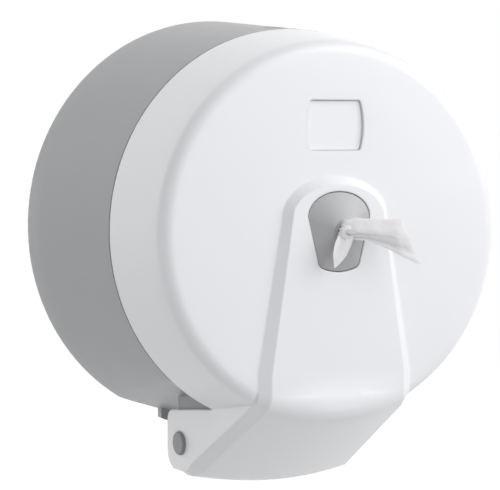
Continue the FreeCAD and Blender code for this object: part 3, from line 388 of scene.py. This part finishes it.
def made_by(tree, name, values, start=None):
    """The plain mesh that a shape tree gives for these values, as one piece at the origin."""
    holder = bpy.data.objects.new(name + "_start", start or bpy.data.meshes.new(name + "_start"))
    scene.collection.objects.link(holder)
    modifier = holder.modifiers.new("shape", "NODES")
    modifier.node_group = tree
    for item in tree.interface.items_tree:
        if item.item_type == "SOCKET" and item.in_out == "INPUT" and item.name in values:
            modifier[item.identifier] = values[item.name]
    evaluated = holder.evaluated_get(bpy.context.evaluated_depsgraph_get())
    piece = bpy.data.objects.new(name, bpy.data.meshes.new_from_object(evaluated))
    bpy.data.objects.remove(holder)
    scene.collection.objects.link(piece)
    return piece


screw_tree, given, put = shape_tree("slotted_screw", [
    ("Places", "Geometry", None), ("Turn", "Vector", (0, 0, 0)), ("Head radius", "Float", 0.003),
    ("Head height", "Float", 0.0018), ("Shank radius", "Float", 0.0012), ("Length", "Float", 0.009),
    ("Pitch", "Float", 0.0009), ("Slot width", "Float", 0.0008), ("Slot depth", "Float", 0.0009),
    ("Material", "Material", None)])
HEAD_SIDES = 40
CORE_SIDES = 24
THREAD_STEPS = 20
THREAD_SIDES = 3
RIM_SHARE = 0.4
CROWN_SHARE = 0.72
CORE_SHARE = 0.8
TIP_SHARE = 0.5
SLOT_LENGTH_SHARE = 2.4
THREAD_SHARE = 0.94
THREAD_END_SHARE = -0.96
rim_height = math_node(screw_tree, "MULTIPLY", given["Head height"], RIM_SHARE)
crown_height = math_node(screw_tree, "SUBTRACT", given["Head height"], rim_height)
crown_radius = math_node(screw_tree, "MULTIPLY", given["Head radius"], CROWN_SHARE)
rim = step(screw_tree, "GeometryNodeMeshCone", Vertices=HEAD_SIDES, Radius_Top=given["Head radius"],
           Radius_Bottom=given["Head radius"], Depth=rim_height)
crown = step(screw_tree, "GeometryNodeMeshCone", Vertices=HEAD_SIDES, Side_Segments=1,
             Radius_Top=crown_radius, Radius_Bottom=given["Head radius"], Depth=crown_height)
crown = step(screw_tree, "GeometryNodeTransform", Geometry=crown, Translation=xyz(screw_tree, z=rim_height))
slot_length = math_node(screw_tree, "MULTIPLY", given["Head radius"], SLOT_LENGTH_SHARE)
slot_height = math_node(screw_tree, "MULTIPLY", given["Slot depth"], 2)
slot = step(screw_tree, "GeometryNodeMeshCube",
            Size=xyz(screw_tree, slot_length, given["Slot width"], slot_height))
slot = step(screw_tree, "GeometryNodeTransform", Geometry=slot,
            Translation=xyz(screw_tree, z=given["Head height"]))
cut_head = screw_tree.nodes.new("GeometryNodeMeshBoolean")
cut_head.operation = "DIFFERENCE"
screw_tree.links.new(crown, cut_head.inputs["Mesh 1"])
screw_tree.links.new(slot, cut_head.inputs["Mesh 2"])
core_radius = math_node(screw_tree, "MULTIPLY", given["Shank radius"], CORE_SHARE)
core = step(screw_tree, "GeometryNodeMeshCone", Vertices=CORE_SIDES, Radius_Top=core_radius,
            Radius_Bottom=math_node(screw_tree, "MULTIPLY", core_radius, TIP_SHARE),
            Depth=given["Length"])
core = step(screw_tree, "GeometryNodeTransform", Geometry=core,
            Translation=xyz(screw_tree, z=math_node(screw_tree, "MULTIPLY", given["Length"], -1)))
turns = math_node(screw_tree, "DIVIDE", given["Length"], given["Pitch"])
thread = step(screw_tree, "GeometryNodeCurveSpiral", Resolution=THREAD_STEPS, Rotations=turns,
              Start_Radius=core_radius, End_Radius=core_radius,
              Height=math_node(screw_tree, "MULTIPLY", given["Length"], THREAD_SHARE))
thread_end = math_node(screw_tree, "MULTIPLY", given["Length"], THREAD_END_SHARE)
thread = step(screw_tree, "GeometryNodeTransform", Geometry=thread, Translation=xyz(screw_tree, z=thread_end))
ridge = step(screw_tree, "GeometryNodeCurvePrimitiveCircle", Resolution=THREAD_SIDES,
             Radius=math_node(screw_tree, "SUBTRACT", given["Shank radius"], core_radius))
thread = step(screw_tree, "GeometryNodeCurveToMesh", Curve=thread, Profile_Curve=ridge, Fill_Caps=True)
screw = step(screw_tree, "GeometryNodeJoinGeometry", Geometry=[rim, cut_head.outputs[0], core, thread])
screws = step(screw_tree, "GeometryNodeInstanceOnPoints", Points=given["Places"], Instance=screw,
              Rotation=given["Turn"])
screws = step(screw_tree, "GeometryNodeRealizeInstances", Geometry=screws)
screws = step(screw_tree, "GeometryNodeSetMaterial", Geometry=screws, Material=given["Material"])
screw_tree.links.new(screws, put["Mesh"])

plated_steel = bare_metal("zinc_plated_steel", (0.56, 0.56, 0.55), 0.32, cloud=0.3)


def islands(name):
    """The lowest and highest corners of each loose piece of a node."""
    mesh = bmesh.new()
    mesh.from_mesh(nodes[name].data)
    bmesh.ops.remove_doubles(mesh, verts=mesh.verts, dist=SAME_CORNER)
    left = set(mesh.verts)
    boxes = []
    while left:
        reached = [left.pop()]
        found = []
        while reached:
            vertex = reached.pop()
            found.append(vertex.co.copy())
            for edge in vertex.link_edges:
                other = edge.other_vert(vertex)
                if other in left:
                    left.remove(other)
                    reached.append(other)
        boxes.append([Vector(map(pick, zip(*found))) for pick in (min, max)])
    mesh.free()
    return boxes


HEAD_HEIGHT = 0.0018
QUARTER = math.pi / 2


def screws_for(node, axis, turn, body, **sizes):
    """Screws in the places of a node's plain ones, which they stand for. Heads face along axis."""
    facing = Vector(axis)
    places = []
    for low, high in islands(node):
        middle = (low + high) / 2
        top = max(facing.dot(low), facing.dot(high)) - HEAD_HEIGHT
        places.append(middle + facing * (top - facing.dot(middle)))
    start = bpy.data.meshes.new(node + "_places")
    start.from_pydata(places, [], [])
    values = {"Turn": turn, "Head height": HEAD_HEIGHT, "Material": plated_steel, **sizes}
    piece = made_by(screw_tree, node + "_turned", values, start)
    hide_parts(node)
    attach(piece, body)


screws_for("cradle_screws", (0, -1, 0), (QUARTER, 0.5, 0), "case", Length=0.0065)


# Paper roll: a jumbo roll of thin crepe tissue, wound on no core. Its turns show on both ends, and its
# outer turn is smooth. It unwinds from the inside.

# Crepe surface: fine ridges across the paper's length, small fibres and a slight cloudiness
RIDGE_STRETCH = (1.0, 0.18, 0.35)
FIBRE_SCALE_SHARE = 3
CLOUD_SCALE_SHARE = 0.12
DARKEST_SHADE = 0.93
SHADE_RANGE = 0.06
crepe_surface, given, put = effect_group(
    "crepe_surface",
    [("Colour", "Color", (0.9, 0.9, 0.9, 1)), ("Scale", "Float", 900.0), ("Fibre depth", "Float", 0.3)],
    [("Colour", "Color"), ("Height", "Float")])
place = crepe_surface.nodes.new("ShaderNodeTexCoord").outputs["Object"]
ridges = crepe_surface.nodes.new("ShaderNodeVectorMath")
ridges.operation = "MULTIPLY"
ridges.inputs[1].default_value = RIDGE_STRETCH
crepe_surface.links.new(place, ridges.inputs[0])
crepe = noise_node(crepe_surface, ridges.outputs[0], given["Scale"], 4)
fibre_scale = math_node(crepe_surface, "MULTIPLY", given["Scale"], FIBRE_SCALE_SHARE)
fibres = noise_node(crepe_surface, place, fibre_scale, 2)
cloud_scale = math_node(crepe_surface, "MULTIPLY", given["Scale"], CLOUD_SCALE_SHARE)
cloud = noise_node(crepe_surface, place, cloud_scale, 3)
both = math_node(crepe_surface, "ADD", crepe, cloud)
shade = math_node(crepe_surface, "MULTIPLY_ADD", both, SHADE_RANGE, DARKEST_SHADE)
crepe_surface.links.new(scaled_colour(crepe_surface, given["Colour"], shade), put["Colour"])
height = math_node(crepe_surface, "MULTIPLY_ADD", fibres, given["Fibre depth"], crepe)
crepe_surface.links.new(height, put["Height"])


def crepe_paper(name, colour, scale, depth, thin=0.0):
    """Tissue: soft and matt. A share of the light goes through thin paper."""
    material = bpy.data.materials.new(name)
    material.use_nodes = True
    tree = material.node_tree
    shader = tree.nodes["Principled BSDF"]
    surface = tree.nodes.new("ShaderNodeGroup")
    surface.node_tree = crepe_surface
    surface.inputs["Colour"].default_value = (*colour, 1)
    surface.inputs["Scale"].default_value = scale
    bump = tree.nodes.new("ShaderNodeBump")
    bump.inputs["Distance"].default_value = depth
    tree.links.new(surface.outputs["Height"], bump.inputs["Height"])
    tree.links.new(surface.outputs["Colour"], shader.inputs["Base Color"])
    tree.links.new(bump.outputs["Normal"], shader.inputs["Normal"])
    shader.inputs["Roughness"].default_value = 0.9
    shader.inputs["Specular IOR Level"].default_value = 0.2
    shader.inputs["Sheen Weight"].default_value = 0.15
    if thin:
        through = tree.nodes.new("ShaderNodeBsdfTranslucent")
        through.inputs["Color"].default_value = (*colour, 1)
        tree.links.new(bump.outputs["Normal"], through.inputs["Normal"])
        mixed = tree.nodes.new("ShaderNodeMixShader")
        mixed.inputs[0].default_value = thin
        tree.links.new(shader.outputs[0], mixed.inputs[1])
        tree.links.new(through.outputs[0], mixed.inputs[2])
        tree.links.new(mixed.outputs[0], tree.nodes["Material Output"].inputs["Surface"])
    return material


STEPS_IN_A_TURN = 72
UNEVEN_SCALE = 260
SAME_POINT = 1e-6
roll_tree, given, put = shape_tree("wound_roll", [
    ("Turns", "Float", 70.0), ("Bore radius", "Float", 0.03), ("Outer radius", "Float", 0.107),
    ("Width", "Float", 0.13), ("Layer thickness", "Float", 0.001), ("Unevenness", "Float", 0.0006),
    ("Seed", "Float", 3.0), ("Rear end", "Vector", (0, 0, 0)), ("Material", "Material", None)])
winding = step(roll_tree, "GeometryNodeCurveSpiral", Resolution=STEPS_IN_A_TURN, Rotations=given["Turns"],
               Start_Radius=given["Bore radius"], End_Radius=given["Outer radius"], Height=0.0)
line = step(roll_tree, "GeometryNodeCurveToMesh", Curve=winding)
paper_width = xyz(roll_tree, z=given["Width"])
layer = roll_tree.nodes.new("GeometryNodeExtrudeMesh")
layer.mode = "EDGES"
roll_tree.links.new(line, layer.inputs["Mesh"])
roll_tree.links.new(paper_width, layer.inputs["Offset"])
thick = roll_tree.nodes.new("GeometryNodeExtrudeMesh")
thick.mode = "FACES"
thick.inputs["Individual"].default_value = False
roll_tree.links.new(layer.outputs["Mesh"], thick.inputs["Mesh"])
inwards = math_node(roll_tree, "MULTIPLY", given["Layer thickness"], -1)
roll_tree.links.new(inwards, thick.inputs["Offset Scale"])
back = step(roll_tree, "GeometryNodeFlipFaces", Mesh=layer.outputs["Mesh"])
walls = step(roll_tree, "GeometryNodeJoinGeometry", Geometry=[thick.outputs["Mesh"], back])
walls = step(roll_tree, "GeometryNodeMergeByDistance", Geometry=walls, Distance=SAME_POINT)
where = roll_tree.nodes.new("GeometryNodeInputPosition").outputs[0]
uneven = roll_tree.nodes.new("ShaderNodeTexNoise")
uneven.noise_dimensions = "4D"
uneven.inputs["Scale"].default_value = UNEVEN_SCALE
roll_tree.links.new(where, uneven.inputs["Vector"])
roll_tree.links.new(given["Seed"], uneven.inputs["W"])
shift = math_node(roll_tree, "MULTIPLY", math_node(roll_tree, "SUBTRACT", uneven.outputs["Fac"], 0.5),
                  given["Unevenness"])
walls = step(roll_tree, "GeometryNodeSetPosition", Geometry=walls, Offset=xyz(roll_tree, z=shift))
laid = roll_tree.nodes.new("GeometryNodeTransform")
laid.inputs["Rotation"].default_value = (QUARTER, 0, 0)
roll_tree.links.new(walls, laid.inputs["Geometry"])
roll_tree.links.new(given["Rear end"], laid.inputs["Translation"])
rolled = step(roll_tree, "GeometryNodeRealizeInstances", Geometry=laid.outputs[0])
rolled = step(roll_tree, "GeometryNodeSetMaterial", Geometry=rolled, Material=given["Material"])
roll_tree.links.new(rolled, put["Mesh"])

ROLL_TURNS = 70
LAYER_SHARE = 0.88
ROLL_BORE = 0.030
roll_paper = crepe_paper("wound_tissue", (0.80, 0.80, 0.79), 900, 0.0002)
low, high = (Vector(corner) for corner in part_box("paper_roll"))
roll_radius = (high.x - low.x) / 2
layer_step = (roll_radius - ROLL_BORE) / ROLL_TURNS
roll = made_by(roll_tree, "wound_paper_roll", {
    "Turns": float(ROLL_TURNS), "Bore radius": ROLL_BORE + layer_step, "Outer radius": roll_radius,
    "Width": high.y - low.y, "Layer thickness": layer_step * LAYER_SHARE, "Rear end": (0, high.y, 0),
    "Material": roll_paper})
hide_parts("paper_roll")
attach(roll, "case")


# Cam lock: a die-cast zinc housing through the top of the case, held by a hexagon nut inside. A key
# turns its barrel and the steel cam under it.
cast_zinc = bare_metal("cast_zinc", (0.55, 0.55, 0.56), 0.3, cloud=0.25)
turned_zinc = bare_metal("turned_zinc", (0.62, 0.62, 0.62), 0.24, line_scale=2200.0, cloud=0.15)
finish_node("lock_housing", cast_zinc)
finish_node("lock_nut", cast_zinc)
finish_node("lock_barrel", turned_zinc)
finish_node("lock_cam", spring_steel)
screws_for("cam_screw", (0, 0, -1), (math.pi, 0, 0.4), "lock", Length=0.008,
           **{"Head radius": 0.0036, "Shank radius": 0.002, "Pitch": 0.0007})


# Front cover: one moulding in glossy white ABS, a shallow tapered drum with the raised chin. The
# chin's sides run back as two ears, which turn on the hinge pins.
white_plastic = moulded_plastic("white_cover_plastic", (0.81, 0.825, 0.85), 0.48, edge=0.002, coat=1.0,
                                grain_depth=0.05, wave_depth=0.9, shade_drift=0.012, gloss_drift=0.05)
cover = moulded_copy("front_cover", "cover_shell", white_plastic)
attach(cover, "cover")


# Catch: a bent strip of zinc-plated steel under the cover's top wall, with two screws. The cam's hook
# turns in front of it.
finish_node("lock_catch", plated_steel)
screws_for("catch_screws", (0, 0, -1), (math.pi, 0, 0.9), "cover", Length=0.004)


# Badge plate: a thin blank plate of white plastic with bowed sides. It is glued in its recess near
# the top of the cover, and has a fine satin face.
badge_plastic = moulded_plastic("satin_badge_plastic", (0.82, 0.835, 0.86), 0.48, edge=0.0003, coat=1.0,
                                grain_depth=0.15)
finish_node("badge_plate", badge_plastic)


# Outlet nozzle: an egg-shaped plug in satin silver-grey ABS with a low cone, whose hole lets out one
# sheet at a time. Its flange and the paper guide are screwed to posts behind the chin.
silver_plastic = moulded_plastic("silver_nozzle_plastic", (0.42, 0.423, 0.43), 0.36, edge=0.0005,
                                 grain_depth=0.15)
nozzle = moulded_copy("outlet_nozzle", "nozzle", silver_plastic)
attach(nozzle, "cover")
finish_node("paper_guide", inner_plastic)
screws_for("nozzle_screws", (0, 1, 0), (-QUARTER, 0.3, 0), "cover", Length=0.009)


# Tissue tail: the end of the strip that comes out of the roll's bore. It is gathered into pleats in
# the nozzle's hole, and outside it opens into a flag on the right and a pointed leaf that hangs.
MM = 0.001
MOUTH = 194.5 * MM
PLEATS = 11
FLAG_TURN = math.radians(22)
FLAG_ALONG = Vector((math.cos(FLAG_TURN), -math.sin(FLAG_TURN), 0))
FLAG_FRONT = Vector((-math.sin(FLAG_TURN), -math.cos(FLAG_TURN), 0))


def through(points, share):
    """A smooth curve through the points, at a share of its way."""
    place = share * (len(points) - 1)
    index = min(int(place), len(points) - 2)
    part = place - index
    before, start, end, after = (Vector(points[min(max(index + ahead, 0), len(points) - 1)])
                                 for ahead in (-1, 0, 1, 2))
    return 0.5 * (2 * start + (end - before) * part + (2 * before - 5 * start + 4 * end - after) * part ** 2
                  + (3 * start - before - 3 * end + after) * part ** 3)


def woven_grid(mesh, columns, rows, at, closed=False):
    """A grid of faces whose corner in each column and row is at(column share, row share)."""
    lines = [[mesh.verts.new(at(column / (columns if closed else columns - 1), row / (rows - 1)))
              for column in range(columns)] for row in range(rows)]
    for lower, upper in zip(lines, lines[1:]):
        for column in range(columns if closed else columns - 1):
            following = (column + 1) % columns
            mesh.faces.new((lower[column], lower[following], upper[following], upper[column]))


def dents(point, size, seed):
    """Small dents in a sheet, this wide and this high, from about -1 to 1."""
    wide, high = size
    return noise.noise(Vector((point.x / wide, point.z / high, seed)))


# Strand: (depth, outer radius, share of it that a pleat takes) from inside the roll to the mouth
STRAND = ((118, 9.0, 0.55), (146, 6.6, 0.66), (172, 4.7, 0.74), (186, 4.6, 0.66), (193, 4.7, 0.4),
          (196.2, 5.6, 0.16), (198.4, 4.9, 0.1), (199.6, 2.4, 0.08))
WANDER_ROUND = 2.2
WANDER_LENGTH = 30
WANDER_SHARE = 0.1
PLEAT_WANDER = 1.6
PLEAT_TWIST_LENGTH = 40
PLEAT_SHARPNESS = 1.3


def strand_point(column, row):
    """A point of the gathered strand. Columns go round it and rows along it."""
    depth, radius, pleat = through(STRAND, row)
    turn = 2 * math.pi * column
    round_it = (WANDER_ROUND * math.cos(turn), WANDER_ROUND * math.sin(turn), depth / WANDER_LENGTH)
    wander = noise.noise(Vector(round_it))
    fold = 0.5 + 0.5 * math.cos(PLEATS * turn + PLEAT_WANDER * wander + depth / PLEAT_TWIST_LENGTH)
    radius *= 1 - pleat * fold ** PLEAT_SHARPNESS
    radius *= 1 + WANDER_SHARE * wander
    return Vector((radius * math.cos(turn), -depth, radius * math.sin(turn))) * MM


# Flag: rails of (along, forward, up) in millimetres from the mouth to the torn end
FLAG_TOP = ((-3, 0.4, 4.6), (-0.5, 1, 8.2), (6.5, 0.5, 9.2), (16.5, -0.5, 8.8), (26, -1.6, 8.2),
            (35.5, -2.2, 8.0), (38.8, -2.6, 6.2))
FLAG_FOLD = ((0, 3.2, -0.6), (3.5, 4.2, -0.9), (9, 4.6, -0.4), (17, 4.4, -1.3), (26, 3.8, -2.2),
             (34.5, 3.2, -3.4), (42.6, 2.0, -5.0))
FLAG_LOW = ((1, 1.6, -2.6), (5, 1.8, -4.4), (12, 1.5, -5.3), (20, 0.7, -7.4), (29, 0.0, -11.2),
            (39, 0.2, -16.5), (50.5, 1.6, -21.6))
FLAG_FOLD_SHARE = 0.42
UPPER_BOW = 1.2
LOWER_BOW = 0.8
WAVE_HEIGHT = 0.2
PLEAT_HEIGHT = 0.9
PLEAT_FADE = 3.2
CRINKLE = 0.24
CRINKLE_SIZE = (3, 2.4)
BROAD_DENT = 2.2 * CRINKLE
BROAD_DENT_SIZE = (11, 8)
EDGE_DENT = 0.3
EDGE_DENT_LENGTH = 5
FLAG_END_SHARE = 0.82
END_TURN_BACK = 15
BACK_GAP = 2.4
BACK_DROP = 0.6
BACK_SHORTER = 0.9


def flag_point(back, column, row):
    """A point of the flag's front layer, or of the layer behind it."""
    top, fold, low = (through(rail, column) for rail in (FLAG_TOP, FLAG_FOLD, FLAG_LOW))
    if row < FLAG_FOLD_SHARE:
        part = row / FLAG_FOLD_SHARE
        point = top.lerp(fold, part)
        point.y += UPPER_BOW * math.sin(math.pi * part)
    else:
        part = (row - FLAG_FOLD_SHARE) / (1 - FLAG_FOLD_SHARE)
        point = fold.lerp(low, part)
        point.y -= LOWER_BOW * math.sin(math.pi * part)
    pleat = PLEAT_HEIGHT * math.exp(-PLEAT_FADE * column)
    point.y += (WAVE_HEIGHT + pleat) * math.sin(19 * row + 3 * column + 4 * back)
    point.y += CRINKLE * dents(point, CRINKLE_SIZE, 7.0 * back)
    point.y += BROAD_DENT * dents(point, BROAD_DENT_SIZE, 5.0 + 3 * back)
    point.z += EDGE_DENT * noise.noise(Vector((point.x / EDGE_DENT_LENGTH, row * 3, 9.0 + back)))
    if column > FLAG_END_SHARE:
        point.y -= END_TURN_BACK * (column - FLAG_END_SHARE) * min(1.0, 1.6 * row)
    if back:
        point.y -= BACK_GAP * math.sin(math.pi * min(1.0, row * 1.1)) * (1 - 0.5 * column)
        point.z -= BACK_DROP * (1 - row)
        point.x -= BACK_SHORTER * column
    turned = FLAG_ALONG * point.x + FLAG_FRONT * point.y + Vector((0, 0, point.z))
    return Vector((0, -MOUTH, 0)) + turned * MM


# Leaf: rails of (across, forward, up) in millimetres down its left and right edges
LEAF_LEFT = ((-4.6, 0.6, 0.6), (-6.9, 2.6, -2.2), (-9.4, 3.8, -6.6), (-10.7, 4.0, -12.3), (-10.5, 3.9, -18.6),
             (-9.9, 3.8, -22.6))
LEAF_RIGHT = ((3.4, 2.6, 0.2), (4.4, 4.6, -1.4), (2.9, 5.0, -5.6), (0.4, 4.8, -11.3), (-3.2, 4.4, -17.0),
              (-9.3, 3.9, -22.7))
LEAF_HOLLOW = 0.9
LEAF_BACK_HOLLOW = 1.9
LEAF_WAVE = 0.55
LEAF_CRINKLE_SIZE = (2.6, 4)


def leaf_point(back, column, row):
    """A point of the leaf's front layer, or of the layer behind it."""
    left, right = (through(rail, row) for rail in (LEAF_LEFT, LEAF_RIGHT))
    point = left.lerp(right, column)
    hollow = math.sin(math.pi * column) * math.sin(math.pi * min(1.0, row + 0.25))
    point.y -= (LEAF_BACK_HOLLOW if back else LEAF_HOLLOW) * hollow
    point.y += LEAF_WAVE * math.sin(9 * column + 5 * row + back) * (1 - row)
    point.y += CRINKLE * dents(point, LEAF_CRINKLE_SIZE, 20.0 + back)
    return (Vector((point.x, -point.y, point.z)) * MM) + Vector((0, -MOUTH, 0))


STRAND_GRID = (8 * PLEATS, 60)
FLAG_GRID = (64, 36)
LEAF_GRID = (22, 36)

mesh = bmesh.new()
woven_grid(mesh, *STRAND_GRID, strand_point, closed=True)
for back in (0, 1):
    woven_grid(mesh, *FLAG_GRID, partial(flag_point, back))
    woven_grid(mesh, *LEAF_GRID, partial(leaf_point, back))
tail = bpy.data.objects.new("tissue_tail_sheet", bpy.data.meshes.new("tissue_tail_sheet"))
scene.collection.objects.link(tail)
for face in mesh.faces:
    face.smooth = True
mesh.to_mesh(tail.data)
mesh.free()
tail.data.materials.append(crepe_paper("thin_tissue", (0.92, 0.91, 0.92), 1500, 0.00008, thin=0.25))
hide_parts("tissue_tail")
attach(tail, "cover")
